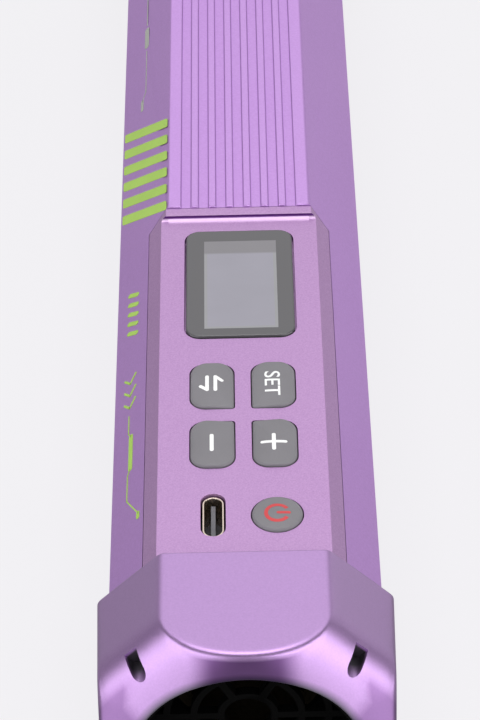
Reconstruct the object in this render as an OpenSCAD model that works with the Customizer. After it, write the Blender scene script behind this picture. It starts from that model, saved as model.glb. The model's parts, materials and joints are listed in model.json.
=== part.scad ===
// Cordless hot-air styling wand: an octagonal extruded body between two flared
// end housings, with a control deck let into the top.
// Y runs from the mouth to the tail, Z is up and the floor is at Z = 0.

/* [Overall] */
// Length from the mouth face to the tail face
total_l = 256; // [250:1:280]
// Width and height of the end housings across their flats
end_w = 44; // [43.6:0.1:46]
// Width of each flat of the end housings
end_flat_w = 24.7; // [23.5:0.1:26]
// Length of each end housing
end_len = 21.9; // [21:0.1:24]
// Radius that rounds the corners of the end housings towards the opening
end_round = 9.2; // [6:0.1:10]
// Thickness of the screwed flange inside each end housing
flange_t = 4.3; // [3.5:0.1:5]
// Diameter of the air opening in each end housing
mouth_d = 35.4; // [34.8:0.1:36]
// Radius of the rounded edge of the air opening
mouth_edge = 1; // [0.4:0.1:1.1]

/* [Corner notches] */
// Width of the notch milled in each corner of an end housing
notch_w = 2.4; // [1.5:0.1:3]
// Length of the notch, back from the mouth face
notch_l = 6.4; // [4:0.1:7.5]
// Distance from the axis to the floor of the notch
notch_floor = 20.8; // [20:0.1:22]

/* [Body extrusion] */
// Width of the body across its sides
body_w = 40.4; // [40:0.1:42]
// Width of the flat on the top and the bottom of the body
body_flat_w = 24.3; // [23:0.1:25]
// Height of the flat on each side of the body
body_flat_h = 25.6; // [24:0.1:27]
// Wall of the extrusion
wall = 1.8; // [1.6:0.1:2]

/* [Cooling ribs] */
// Number of narrow ribs
rib_count = 6; // [4:2:6]
// Width of a narrow rib
rib_w = 1.33; // [1:0.01:1.6]
// Spacing of the narrow ribs
rib_pitch = 2.93; // [2.6:0.01:3]
// Height of the ribs over the body
rib_h = 0.45; // [0.3:0.05:0.6]
// Corner radius of the end of a rib, seen from above
rib_end_r = 0.35; // [0.2:0.05:0.5]

/* [Control deck] */
// Width of the deck between its seams
deck_w = 30; // [29:0.1:31]
// Distance of the deck's far edge from the mouth face
deck_far = 107; // [106:0.1:109]
// Length of the raised strip at the deck's far edge
strip_l = 2; // [1.8:0.1:2.5]
// Depth of the deck panel below the top of the end housings
panel_drop = 1.3; // [1:0.05:1.4]
// Radius of the hollow at the foot of the raised strip
step_r = 0.75; // [0.3:0.05:0.8]
// Cut across the deck's far corners
deck_miter = 3; // [2:0.1:4]
// Thickness of the deck panel
deck_t = 1.8; // [1.7:0.1:2]
// Thickness of the deck's lip
lip_t = 0.9; // [0.7:0.1:1]
// Width of the ledge that carries the lip
ledge_w = 1.7; // [1.2:0.1:2]

/* [Display] */
// Width of the display lens
lens_w = 17.8; // [17:0.1:18.4]
// Length of the display lens
lens_l = 28.3; // [28:0.1:29]
// Distance of the lens centre from the mouth face
lens_y = 87.35; // [87:0.05:87.8]
// Corner radius of the lens
lens_r = 2.6; // [1.5:0.1:3]
// Thickness of the lens
lens_t = 1.2; // [1:0.1:1.4]
// How far the lens stands over the deck panel
lens_proud = 0.3; // [0.1:0.05:0.4]
// Width of the ledge under the lens
lens_ledge = 1.4; // [1:0.1:2]

/* [Keys] */
// Width of a key
key_w = 7; // [6:0.1:7.2]
// Length of a key
key_l = 11.2; // [9:0.1:11.6]
// Radius of a key's outer corners
key_r = 2.5; // [1.5:0.1:3]
// Radius of the key corner that faces the middle of the group
key_inner_r = 0.45; // [0.3:0.05:1]
// Distance of the key centres from the middle line
key_x = 4.7; // [4.6:0.05:5.2]
// Distance of the nearer row of keys from the mouth face
key_near_y = 47.15; // [46.5:0.05:47.5]
// Distance of the farther row of keys from the mouth face
key_far_y = 61; // [60.8:0.05:62]
// How far the keys stand over the deck panel
key_proud = 0.65; // [0.5:0.05:1]
// Bevel round the top of a key
key_bevel = 0.35; // [0.2:0.05:0.4]
// Travel of every key
key_travel = 0.35; // [0.2:0.05:0.35]
// Diameter of the power key
power_d = 7.95; // [6:0.05:8.4]
// Distance of the power key from the middle line
power_x = 4.87; // [4.8:0.01:5.2]
// Distance of the power key from the mouth face
power_y = 31.4; // [31:0.1:32]

/* [Charging port] */
// Distance of the port from the middle line
usb_x = 4.55; // [4.4:0.05:4.8]
// Distance of the port from the mouth face
usb_y = 31.36; // [31:0.01:32]
// Long side of the port's metal shell
usb_l = 8.94; // [8.9:0.01:9]
// Short side of the port's metal shell
usb_w = 3.26; // [3.2:0.01:3.3]
// Depth of the shell's rim below the deck panel
usb_sunk = 0.8; // [0.4:0.1:1]

/* [Air duct] */
// Inner diameter of the fan duct
duct_d = 23.8; // [23:0.1:24]
// Wall of the fan duct
duct_wall = 1.1; // [0.9:0.1:1.2]
// Inner diameter of the seat for clip-on nozzles
nozzle_d = 32.8; // [32:0.1:33.2]
// Length of the seat for clip-on nozzles
nozzle_l = 8.8; // [7:0.1:9]
// Distance of the front end of the fan duct from the mouth face
duct_y = 62; // [61:0.1:63]
// Length of the fan duct
duct_l = 42; // [42:0.5:44]

/* [Heater] */
// Wall of the heater sleeve
sleeve_wall = 0.5; // [0.4:0.1:0.7]
// Thickness of the mica plates
mica_t = 0.6; // [0.5:0.1:1]
// Number of turns of the heating wire
coil_turns = 8; // [5:1:9]
// Diameter of the heating wire
coil_wire_d = 0.7; // [0.5:0.1:0.8]

/* [Fan] */
// Diameter of the motor housing in the duct
hub_d = 14.4; // [14:0.1:15]
// Diameter of the impeller over its blades
fan_d = 23.1; // [22:0.1:23.2]
// Number of impeller blades
blade_count = 9; // [5:1:11]
// Thickness of an impeller blade
blade_t = 0.7; // [0.5:0.1:0.9]
// Twist of an impeller blade over its length, in degrees
blade_twist = 38; // [20:1:50]
// Number of guide vanes
vane_count = 7; // [5:2:9]
// Diameter of the motor shaft
shaft_d = 1.96; // [1.5:0.01:2.2]
// Diameter of each ball bearing
bearing_d = 6; // [5.6:0.1:6.4]

/* [Battery] */
// Diameter of a cell
cell_d = 16.5; // [16:0.1:16.6]
// Free length between the battery's board and the tail housing
tail_room = 33.9; // [30:0.1:38]
// Space between neighbouring cells
cell_gap = 0.7; // [0.5:0.1:0.8]
// Distance of the cells from the mouth face
cell_y = 132; // [120:0.5:134]
// Length of each cell holder
holder_l = 6; // [5:0.5:7]

/* [Grilles and screws] */
// Thickness of the intake grille
intake_t = 2.6; // [2:0.1:3]
// Diameter of the holes in the intake grille
intake_hole_d = 2.3; // [1.8:0.1:2.6]
// Thickness of the dust filter
filter_t = 1.4; // [1:0.1:1.8]
// Diameter of the housing screws
screw_d = 2; // [1.8:0.1:2.2]
// Length of the housing screws
screw_l = 12; // [10:0.5:14]
// Distance of the housing screws from the axis
screw_x = 15.6; // [15.5:0.05:15.7]

/* [Clearances] */
// Play between fixed pieces that slide together
fit = 0.1; // [0.05:0.01:0.12]
// Play round a moving key
key_play = 0.12; // [0.1:0.01:0.15]
// Play between the shaft and its bearings
shaft_play = 0.02; // [0.01:0.01:0.04]
// Width of the visible seam round the deck
seam = 0.08; // [0.05:0.01:0.12]

/* [Hidden] */
$fn = 64;

anodised = [0.58, 0.42, 0.72];
blasted = [0.68, 0.54, 0.74];
key_grey = [0.52, 0.52, 0.54];
black_nylon = [0.05, 0.05, 0.06];
steel = [0.74, 0.75, 0.77];
copper = [0.72, 0.42, 0.22];
board_green = [0.08, 0.26, 0.16];
mica = [0.82, 0.76, 0.62];
rubber = [0.16, 0.16, 0.17];
cell_blue = [0.20, 0.34, 0.52];
nickel = [0.80, 0.78, 0.72];

// Cuts run past the faces that they open by this much
over = 1;
// Parts fused into one solid sink this far into each other
bite = 0.2;
// Play between pieces that are pushed together and stay so
snug = fit / 2;

end_h = end_w / 2;
body_h = end_h - rib_h;
tail_y = total_l - end_len;
corner_n = (end_h + end_flat_w / 2) / sqrt(2);
mouth_r = mouth_d / 2;
flange_y = end_len - flange_t;

panel_z = end_h - panel_drop;
step_y = deck_far - strip_l;
deck_under = panel_z - deck_t;
plug_w = deck_w - 2 * ledge_w;
plug_far = deck_far - min(ledge_w, strip_l - 0.4);
rib_edge = (rib_count + 1) / 2 * rib_pitch - rib_w / 2;

duct_r = duct_d / 2;
shroud_r = duct_r + duct_wall;
sleeve_r = duct_r + 0.4;
socket_r = sleeve_r + fit;
socket_l = 4;
sleeve_in = sleeve_r - sleeve_wall;
collar_r = socket_r + 0.7;
flange_r = collar_r + fit;
sleeve_y = end_len - 2.5;
sleeve_end = duct_y + socket_l;
collar_end = end_len + 2.5;
nozzle_r = nozzle_d / 2;
grille_t = 1.5;
grille_r = nozzle_r - 0.4;
liner_y = mouth_edge + bite;
grille_y = liner_y + nozzle_l;

coil_r = sleeve_in - 0.7 - coil_wire_d / 2;
cross_r = coil_r - coil_wire_d / 2 - 0.15;
cross_y = sleeve_y + 3;
cross_end = sleeve_end - 3;
tab_l = 2;
coil_y = cross_y + tab_l + 2;
coil_end = cross_end - tab_l - 2;

hub_r = hub_d / 2;
hub_wall = 0.8;
can_r = hub_r - hub_wall;
hub_set_back = 8;
hub_l = 22;
hub_y = duct_y + hub_set_back;
hub_end = hub_y + hub_l;
vane_y = hub_y + 5;
vane_l = 12;
vane_t = 0.8;
web_t = 2.5;
bearing_r = bearing_d / 2;
bearing_l = 2;
shaft_r = shaft_d / 2;
bearing_y = hub_y + web_t - bearing_l;
cap_t = 2.5;
cap_y = hub_end - cap_t;
magnet_y = hub_y + 6;
magnet_l = 11;
magnet_r = 3.1;
stator_gap = 0.5;
yoke_r = can_r - 1.2;
tooth_w = 1.2;
winding_w = 2.6;
winding_l = magnet_l + 2.8;
winding_r = magnet_r + 0.9;
impeller_gap = 1;
impeller_y = hub_end + impeller_gap;
impeller_l = 9;
impeller_hub_r = hub_r - 1;
blade_l = impeller_l - 2;
blade_root = 0.6;
shaft_y = hub_y - 1;
shaft_end = impeller_y + impeller_l;

board_t = 1.2;
switch_h = 1;
plunger_top = deck_under - 1.15;
board_top = plunger_top - switch_h - 0.55;
board_under = board_top - board_t;
board_w = 24.8;
board_y = end_len + 2.6;
board_end = plug_far - 1.4;
post_r = 1.6;
post_x = 11;
post_ys = [board_y + 2.4, key_far_y + 8.6, board_end - 1.8];
post_screw_r = 0.8;
post_screw_l = 3;
post_head_r = 1.4;
post_head_l = 0.8;
// Pitch of the grid that the parts of the main board are laid out on
grid = 1;

key_bottom = plunger_top + key_travel + 0.05;
flange_h = 0.6;
key_flange = 0.7;
key_top = panel_z + key_proud;

usb_top = panel_z - usb_sunk;
usb_h = 6.4;
usb_under = usb_top - usb_h;
usb_shell_t = 0.3;
usb_gap = 0.25;

lens_top = panel_z + lens_proud;
lens_under = lens_top - lens_t;

mount_t = 3;
mount_top = board_under - 1.3;
mount_front_y = duct_y + 1;
mount_rear_y = duct_y + duct_l - mount_t - 2;
driver_w = 20;
driver_z = -(shroud_r + 4.2);
driver_y = mount_front_y - 3;
driver_end = mount_rear_y + mount_t + 3;
capacitor_r = 2.2;
capacitor_l = 12;
switch_w = 5;
switch_l = 6;
switch_t = 1.1;
switch_pitch = 8;

cell_r = cell_d / 2;
cell_x = (cell_d + cell_gap) / 2;
holder_base = 2;
link_t = 0.3;
pack_end = tail_y - tail_room - board_t;
cell_end = pack_end - holder_base;

port_r = screw_d / 2 + 0.9;
screw_r = screw_d / 2;
screw_head_r = 1.9;
screw_head_l = 1.2;
filter_seat = intake_t + filter_t + 2;

// Moves a shape modelled round the air duct's axis to its place over the floor
module on_axis() translate([0, -total_l / 2, end_h]) children();

// Extrudes a cross-section, drawn as X and Z, from y0 to y1
module along(y0, y1) translate([0, y1, 0]) rotate([90, 0, 0]) linear_extrude(y1 - y0) children();

// Extrudes a plan, drawn as X and Y, from z0 to z1
module upright(z0, z1) translate([0, 0, z0]) linear_extrude(z1 - z0) children();

// Turns a profile, drawn as radius and Y, round the duct's axis
module turned() rotate([-90, 0, 0]) rotate_extrude() children();

// A round bar along Y
module rod(r, y0, y1, x = 0, z = 0) translate([x, y0, z]) rotate([-90, 0, 0]) cylinder(r = r, h = y1 - y0);

// A tube along Y
module ring(outer, inner, y0, y1) difference() {
    rod(outer, y0, y1);
    rod(inner, y0 - over, y1 + over);
}

// Eight corners of a flat-topped octagon, drawn inwards by an inset
function octagon(hw, hh, fw, fh, inset = 0) =
    let (a = atan2(hh - fh, hw - fw),
         w = hw - inset,
         h = hh - inset,
         u = fw - inset * tan(a / 2),
         v = fh - inset * tan((90 - a) / 2))
    [[u, h], [w, v], [w, -v], [u, -h], [-u, -h], [-w, -v], [-w, v], [-u, h]];

module body_section(inset = 0)
    polygon(octagon(body_w / 2, body_h, body_flat_w / 2, body_flat_h / 2, inset));

// A rectangle with its own radius at each corner, anticlockwise from +X +Y
module cornered(w, l, radii) {
    sx = [1, -1, -1, 1];
    sy = [1, 1, -1, -1];
    function corner(k, r) = let (
        a = [sx[k] * w / 2, sy[k] * (l / 2 - r)],
        b = [sx[k] * (w / 2 - r), sy[k] * l / 2]) k % 2 == 0 ? [a, b] : [b, a];
    polygon([for (k = [0 : 3]) each corner(k, radii[k])]);
    for (k = [0 : 3])
        translate([sx[k] * (w / 2 - radii[k]), sy[k] * (l / 2 - radii[k])]) circle(radii[k]);
}

module rounded(w, l, r) cornered(w, l, [r, r, r, r]);

// A slot outline with round ends, long along Y
module stadium(w, l) {
    square([w, l - w], center = true);
    for (s = [-1, 1]) translate([0, s * (l - w) / 2]) circle(w / 2);
}

module mirrored_pair() for (s = [0, 1]) mirror([s, 0, 0]) children();

// ---- end housings

// Outline along a corner diagonal, with its front corners rounded
module corner_slab() {
    translate([-corner_n, end_round]) square([2 * corner_n, end_len - end_round]);
    translate([end_round - corner_n, 0]) square([2 * (corner_n - end_round), end_len]);
    for (s = [-1, 1]) translate([s * (corner_n - end_round), end_round]) circle(end_round);
}

module corner_cut_block(turn) rotate([0, turn, 0])
    translate([0, 0, -end_w]) linear_extrude(2 * end_w) corner_slab();

module corner_notch(turn) rotate([0, turn, 0]) {
    translate([notch_floor + notch_w / 2, -over, -notch_w / 2]) cube([end_w, notch_l + over, notch_w]);
    rod(notch_w / 2, -over, notch_l, x = notch_floor + notch_w / 2);
}

// Round opening with a rounded edge
module mouth_bore(depth) {
    turned() difference() {
        translate([0, -over]) square([mouth_r + mouth_edge, depth + over]);
        translate([mouth_r, mouth_edge]) square([2 * mouth_edge, depth]);
        translate([mouth_r + mouth_edge, mouth_edge]) circle(mouth_edge);
    }
}

// An end housing with its opening at Y = 0
module end_housing(bore_l, ledge_r) {
    difference() {
        intersection() {
            along(0, end_len) polygon(octagon(end_h, end_h, end_flat_w / 2, end_flat_w / 2));
            corner_cut_block(45);
            corner_cut_block(-45);
        }
        for (turn = [45, 135, 225, 315]) corner_notch(turn);
        mouth_bore(bore_l);
        rod(ledge_r, bore_l - bite, flange_y);
        rod(flange_r, flange_y - over, end_len + over);
        mirrored_pair() {
            rod(screw_head_r + fit, bore_l - bite, flange_y + screw_head_l, x = screw_x);
            rod(screw_r + fit, flange_y, end_len + over, x = screw_x);
        }
    }
}

module mouth_housing() color(anodised) on_axis() end_housing(flange_y, mouth_r);

module tail_housing() color(anodised) on_axis()
    translate([0, total_l, 0]) mirror([0, 1, 0]) end_housing(filter_seat, mouth_r - 1);

// ---- body

module rib(x) translate([x, deck_far]) {
    translate([-rib_w / 2, rib_end_r]) square([rib_w, tail_y - deck_far - rib_end_r]);
    translate([rib_end_r - rib_w / 2, 0]) square([rib_w - 2 * rib_end_r, tail_y - deck_far]);
    for (s = [-1, 1]) translate([s * (rib_w / 2 - rib_end_r), rib_end_r]) circle(rib_end_r);
}

module ribs() {
    slope_run = rib_h * (body_w - body_flat_w) / (2 * body_h - body_flat_h);
    upright(body_h - bite, end_h)
        for (i = [0 : rib_count - 1]) rib((i - (rib_count - 1) / 2) * rib_pitch);
    mirrored_pair() along(deck_far, tail_y) polygon([
        [rib_edge, body_h - bite],
        [body_flat_w / 2, body_h - bite],
        [body_flat_w / 2, body_h],
        [body_flat_w / 2 - slope_run, end_h],
        [rib_edge, end_h]
    ]);
}

// Plan of the deck between its seams, grown outwards on all sides but the mouth's
module deck_plan(w, far, grow, near) {
    lean = grow * (sqrt(2) - 1);
    side = w / 2 + grow;
    polygon([
        [-side, near],
        [side, near],
        [side, far - deck_miter + lean],
        [side - deck_miter - grow + lean, far + grow],
        [deck_miter + grow - lean - side, far + grow],
        [-side, far - deck_miter + lean]
    ]);
}

module deck_window() {
    near = end_len - over;
    difference() {
        upright(0, end_w) deck_plan(deck_w, deck_far, seam, near);
        along(near - over, deck_far + over) body_section(lip_t);
    }
    upright(deck_under - over, end_w) deck_plan(plug_w, plug_far, fit, near);
}

// Two screw channels that run the whole length of the extrusion
module screw_ports() mirrored_pair() {
    rod(port_r, end_len, tail_y, x = screw_x);
    translate([screw_x, end_len, -port_r / 2])
        cube([body_w / 2 - wall + bite - screw_x, tail_y - end_len, port_r]);
}

module body_tube() color(anodised) on_axis() difference() {
    union() {
        difference() {
            union() {
                along(end_len, tail_y) body_section();
                ribs();
            }
            along(end_len - over, tail_y + over) body_section(wall);
        }
        screw_ports();
    }
    mirrored_pair() rod(screw_r, end_len - over, tail_y + over, x = screw_x);
    deck_window();
}

// ---- control deck

// Everything over the panel, up to the hollow foot of the raised strip
module over_panel() rotate([90, 0, 90]) translate([0, 0, -deck_w]) linear_extrude(2 * deck_w) {
    translate([0, panel_z]) square([step_y - step_r, end_h]);
    translate([0, panel_z + step_r]) square([step_y, end_h]);
    translate([step_y - step_r, panel_z + step_r]) circle(step_r);
}

module key_outline(sx, sy, grow = 0) {
    order = [[1, 1], [-1, 1], [-1, -1], [1, -1]];
    radii = [for (c = order) (c == [-sx, -sy] ? key_inner_r : key_r) + grow];
    translate([sx * key_x, sy > 0 ? key_far_y : key_near_y])
        cornered(key_w + 2 * grow, key_l + 2 * grow, radii);
}

module each_key() for (sx = [-1, 1]) for (sy = [-1, 1]) {
    $sx = sx;
    $sy = sy;
    children();
}

module control_deck() color(blasted) on_axis() difference() {
    union() {
        intersection() {
            along(end_len, deck_far) body_section();
            union() {
                difference() {
                    upright(0, end_w) deck_plan(deck_w, deck_far, 0, end_len);
                    along(end_len - over, deck_far + over) body_section(lip_t);
                }
                upright(deck_under, end_w) deck_plan(plug_w, plug_far, 0, end_len);
            }
        }
        mirrored_pair() for (y = post_ys)
            translate([post_x, y, board_top]) cylinder(r = post_r, h = deck_under - board_top + bite);
    }
    over_panel();
    upright(lens_under, end_w) translate([0, lens_y]) rounded(lens_w + 2 * fit, lens_l + 2 * fit, lens_r + fit);
    upright(deck_under - over, end_w) translate([0, lens_y])
        square([lens_w - 2 * lens_ledge, lens_l - 2 * lens_ledge], center = true);
    upright(deck_under - over, end_w) each_key() key_outline($sx, $sy, key_play);
    translate([power_x, power_y, deck_under - over]) cylinder(r = power_d / 2 + key_play, h = end_w);
    upright(deck_under - over, end_w) translate([-usb_x, usb_y])
        stadium(usb_w + 2 * usb_gap, usb_l + 2 * usb_gap);
    mirrored_pair() for (y = post_ys)
        translate([post_x, y, board_top - over]) cylinder(r = post_screw_r, h = over + 2);
}

// ---- keys

module key(sx, sy) color(key_grey) on_axis() {
    upright(key_bottom, key_bottom + flange_h) key_outline(sx, sy, key_flange);
    upright(key_bottom + flange_h - bite, key_top - key_bevel) key_outline(sx, sy);
    hull($fn = 32) {
        upright(key_top - key_bevel - bite, key_top - key_bevel) key_outline(sx, sy);
        upright(key_top - bite / 4, key_top) key_outline(sx, sy, -key_bevel);
    }
}

module key_swap() key(-1, 1);
module key_set() key(1, 1);
module key_minus() key(-1, -1);
module key_plus() key(1, -1);

module power_key() color(key_grey) on_axis() translate([power_x, power_y, 0]) rotate_extrude() {
    r = power_d / 2;
    translate([0, key_bottom]) square([r + key_flange, flange_h]);
    translate([0, key_bottom]) square([r, key_top - key_bevel - key_bottom]);
    translate([0, key_bottom]) square([r - key_bevel, key_top - key_bottom]);
    translate([r - key_bevel, key_top - key_bevel]) circle(key_bevel, $fn = 32);
}

module tact_switch(x, y) translate([x, y, board_top]) {
    translate([-1.5, -1.5, 0]) cube([3, 3, switch_h]);
    cylinder(r = 0.9, h = plunger_top - board_top);
}

module key_switches() color(steel) on_axis() {
    each_key() tact_switch($sx * key_x, $sy > 0 ? key_far_y : key_near_y);
    tact_switch(power_x, power_y);
}

// ---- display

module display_lens() color([0.44, 0.44, 0.45]) on_axis()
    upright(lens_under, lens_top) translate([0, lens_y]) rounded(lens_w, lens_l, lens_r);

module display_module() color([0.12, 0.12, 0.14]) on_axis() translate([0, lens_y, 0]) {
    glass_w = lens_w - 2 * lens_ledge - 2 * fit;
    glass_l = lens_l - 2 * lens_ledge - 2 * fit;
    translate([-glass_w / 2 - 0.4, -glass_l / 2 - 0.6, board_top])
        cube([glass_w + 0.8, glass_l + 1.2, deck_under - fit - board_top]);
    translate([-glass_w / 2, -glass_l / 2, deck_under - fit - bite])
        cube([glass_w, glass_l, lens_under - deck_under + bite]);
}

// ---- main board

module main_board() color(board_green) on_axis() difference() {
    upright(board_under, board_top) translate([0, (board_y + board_end) / 2])
        rounded(board_w, board_end - board_y, 1);
    upright(board_under - over, board_top + over) translate([-usb_x, usb_y])
        stadium(usb_w + 2 * fit, usb_l + 2 * fit);
    mirrored_pair() for (y = post_ys)
        translate([post_x, y, board_under - over]) cylinder(r = post_screw_r, h = board_t + 2 * over);
}

// A chip under the board, with its place and its plan counted in steps of the grid
module chip(x, y, w, l)
    translate([(x - w / 2) * grid, y - l / 2 * grid, board_under - grid]) cube([w * grid, l * grid, grid]);

module board_parts() color([0.10, 0.10, 0.11]) on_axis() {
    chip(0, lens_y, 7, 7);
    chip(7, key_far_y + 13 * grid, 4, 5);
    chip(-7, key_far_y - 6 * grid, 5, 4);
    chip(6, key_near_y, 3, 3);
    chip(-8, key_near_y - 6 * grid, 3, 4);
}

module board_screws() color(steel) on_axis() mirrored_pair() for (y = post_ys)
    translate([post_x, y, board_under]) {
        translate([0, 0, -post_head_l]) cylinder(r = post_head_r, h = post_head_l);
        translate([0, 0, -bite]) cylinder(r = post_screw_r, h = post_screw_l + bite);
    }

// ---- charging port

module usb_shell() color([0.80, 0.74, 0.66]) on_axis() difference() {
    upright(usb_under, usb_top) translate([-usb_x, usb_y]) stadium(usb_w, usb_l);
    upright(usb_under - over, usb_top + over) translate([-usb_x, usb_y])
        stadium(usb_w - 2 * usb_shell_t, usb_l - 2 * usb_shell_t);
}

module usb_tongue() color([0.16, 0.16, 0.17]) on_axis() translate([-usb_x, usb_y, 0]) {
    upright(usb_under, usb_under + 1.4) stadium(usb_w - 2 * usb_shell_t, usb_l - 2 * usb_shell_t);
    upright(usb_under, usb_top - 0.9) square([0.7, usb_l - 2.2], center = true);
}

// ---- mouth, heater

module mouth_liner() color(black_nylon) on_axis() turned() polygon([
    [mouth_r - fit, liner_y],
    [mouth_r - fit, flange_y],
    [collar_r, flange_y],
    [collar_r, collar_end],
    [socket_r, collar_end],
    [socket_r, sleeve_y],
    [sleeve_in, sleeve_y],
    [sleeve_in, flange_y],
    [grille_r - 1, grille_y + grille_t],
    [grille_r + fit, grille_y + grille_t],
    [grille_r + fit, grille_y],
    [nozzle_r, grille_y],
    [nozzle_r, liner_y]
]);

module outlet_grille() color(black_nylon) on_axis() {
    end = grille_y + grille_t;
    step = grille_r / 4;
    ring(grille_r, grille_r - 1.2, grille_y, end);
    for (i = [1 : 3]) ring(i * step + 0.5, i * step - 0.5, grille_y, end);
    difference() {
        for (turn = [0, 60, 120]) rotate([0, turn, 0])
            translate([bite - grille_r, grille_y, -0.6]) cube([2 * (grille_r - bite), grille_t, 1.2]);
        rod(step - bite, grille_y - over, end + over);
    }
}

module heater_sleeve() color(mica) on_axis() ring(sleeve_r, sleeve_in, sleeve_y, sleeve_end);

module mica_plate() {
    translate([-cross_r, cross_y, -mica_t / 2]) cube([2 * cross_r, cross_end - cross_y, mica_t]);
    for (y = [cross_y, cross_end - tab_l])
        translate([0.05 - sleeve_in, y, -mica_t / 2]) cube([2 * sleeve_in - 0.1, tab_l, mica_t]);
}

module heater_cross() color(mica) on_axis() for (turn = [45, 135]) rotate([0, turn, 0]) mica_plate();

// Points of a ring of the heating wire, at an angle along the helix
function wire_ring(t, sides) =
    let (y = coil_y + (coil_end - coil_y) * t / (360 * coil_turns))
    [for (k = [0 : sides - 1]) let (
        b = 360 * k / sides,
        r = coil_r + coil_wire_d / 2 * cos(b))
        [r * cos(t), y + coil_wire_d / 2 * sin(b), r * sin(t)]];

module heater_coil() color(steel) on_axis() {
    sides = 6;
    per_turn = 24;
    rings = per_turn * coil_turns;
    points = [for (i = [0 : rings]) each wire_ring(360 * i / per_turn, sides)];
    skin = [for (i = [0 : rings - 1]) for (k = [0 : sides - 1]) let (
        a = i * sides + k,
        b = i * sides + (k + 1) % sides) each [[a, a + sides, b], [b, a + sides, b + sides]]];
    first = [for (k = [0 : sides - 1]) k];
    last = [for (k = [sides - 1 : -1 : 0]) rings * sides + k];
    polyhedron(points, concat(skin, [first, last]));
}

// ---- fan and motor

module vane() translate([0, 0, vane_y]) linear_extrude(vane_l, twist = 24, slices = 3, segments = 4)
    translate([hub_r - bite, -vane_t / 2]) square([duct_r - hub_r + 2 * bite, vane_t]);

module fan_shroud() color(black_nylon) on_axis() {
    end = duct_y + duct_l;
    turned() polygon([
        [socket_r, duct_y],
        [shroud_r, duct_y],
        [shroud_r, end],
        [duct_r + 0.7, end],
        [duct_r, end - 2],
        [duct_r, sleeve_end],
        [socket_r, sleeve_end]
    ]);
    turned() polygon([
        [shaft_r + 0.3, hub_y],
        [hub_r - 2, hub_y],
        [hub_r, hub_y + 2],
        [hub_r, hub_end],
        [can_r, hub_end],
        [can_r, hub_y + web_t],
        [bearing_r, hub_y + web_t],
        [bearing_r, bearing_y],
        [shaft_r + 0.3, bearing_y]
    ]);
    rotate([-90, 0, 0]) for (i = [0 : vane_count - 1]) rotate(360 * i / vane_count) vane();
}

module bearing(y) ring(bearing_r, shaft_r + shaft_play, y, y + bearing_l);

module front_bearing() color(steel) on_axis() bearing(bearing_y);
module rear_bearing() color(steel) on_axis() bearing(cap_y);

module motor_cap() color(black_nylon) on_axis() difference() {
    rod(can_r - snug, cap_y, hub_end);
    rod(bearing_r, cap_y - over, cap_y + bearing_l);
    rod(shaft_r + 0.3, cap_y - over, hub_end + over);
}

module motor_stator() color([0.40, 0.41, 0.44]) on_axis() {
    y0 = magnet_y - 0.5;
    y1 = magnet_y + magnet_l + 0.5;
    face = magnet_r + stator_gap;
    ring(can_r - snug, yoke_r, y0, y1);
    for (i = [0 : 5]) rotate([0, 60 * i, 0])
        translate([face, y0, -tooth_w / 2]) cube([yoke_r + bite - face, y1 - y0, tooth_w]);
}

// Six coils whose outer corners stay inside the round yoke
module motor_windings() color(copper) on_axis() for (i = [0 : 5]) rotate([0, 60 * i, 0]) difference() {
    reach = sqrt(pow(yoke_r - snug, 2) - pow(winding_w / 2, 2));
    translate([winding_r, magnet_y + (magnet_l - winding_l) / 2, -winding_w / 2])
        cube([reach - winding_r, winding_l, winding_w]);
    translate([0, magnet_y - 0.5, -tooth_w / 2]) cube([can_r, magnet_l + 1, tooth_w]);
}

module rotor_shaft() color(steel) on_axis() rod(shaft_r, shaft_y, shaft_end);

module rotor_magnet() color([0.30, 0.30, 0.33]) on_axis()
    ring(magnet_r, shaft_r, magnet_y, magnet_y + magnet_l);

module blade() translate([0, 0, impeller_y + blade_root])
    linear_extrude(blade_l, twist = blade_twist, slices = 5, segments = 4)
        translate([impeller_hub_r - blade_root, -blade_t / 2])
            square([fan_d / 2 - impeller_hub_r + blade_root, blade_t]);

module fan_impeller() color([0.22, 0.22, 0.24]) on_axis() {
    nose = impeller_hub_r - 1.2;
    end = impeller_y + impeller_l;
    turned() difference() {
        union() {
            translate([shaft_r, impeller_y]) square([impeller_hub_r - shaft_r, impeller_l - nose]);
            translate([shaft_r, impeller_y]) square([impeller_hub_r - nose - shaft_r, impeller_l]);
            intersection() {
                translate([impeller_hub_r - nose, end - nose]) circle(nose);
                translate([shaft_r, impeller_y]) square([impeller_hub_r, impeller_l]);
            }
        }
        translate([0, impeller_y - over]) square([shaft_r, impeller_l + 2 * over]);
    }
    rotate([-90, 0, 0]) for (i = [0 : blade_count - 1]) rotate(360 * i / blade_count) blade();
}

// A rubber frame that holds the duct in the body and grips the driver board
module fan_mount(y) difference() {
    along(y, y + mount_t) body_section(wall + fit);
    rod(shroud_r + snug, y - over, y + mount_t + over);
    mirrored_pair() rod(port_r + fit, y - over, y + mount_t + over, x = screw_x);
    mirrored_pair() translate([screw_x, y - over, -port_r / 2 - fit])
        cube([body_w, mount_t + 2 * over, port_r + 2 * fit]);
    translate([-body_w, y - over, mount_top]) cube([2 * body_w, mount_t + 2 * over, end_w]);
    translate([-driver_w / 2 - fit, y - over, driver_z - fit])
        cube([driver_w + 2 * fit, mount_t + 2 * over, board_t + 2 * fit]);
}

module fan_mount_front() color(rubber) on_axis() fan_mount(mount_front_y);
module fan_mount_rear() color(rubber) on_axis() fan_mount(mount_rear_y);

module driver_board() color(board_green) on_axis()
    translate([-driver_w / 2, driver_y, driver_z]) cube([driver_w, driver_end - driver_y, board_t]);

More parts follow.
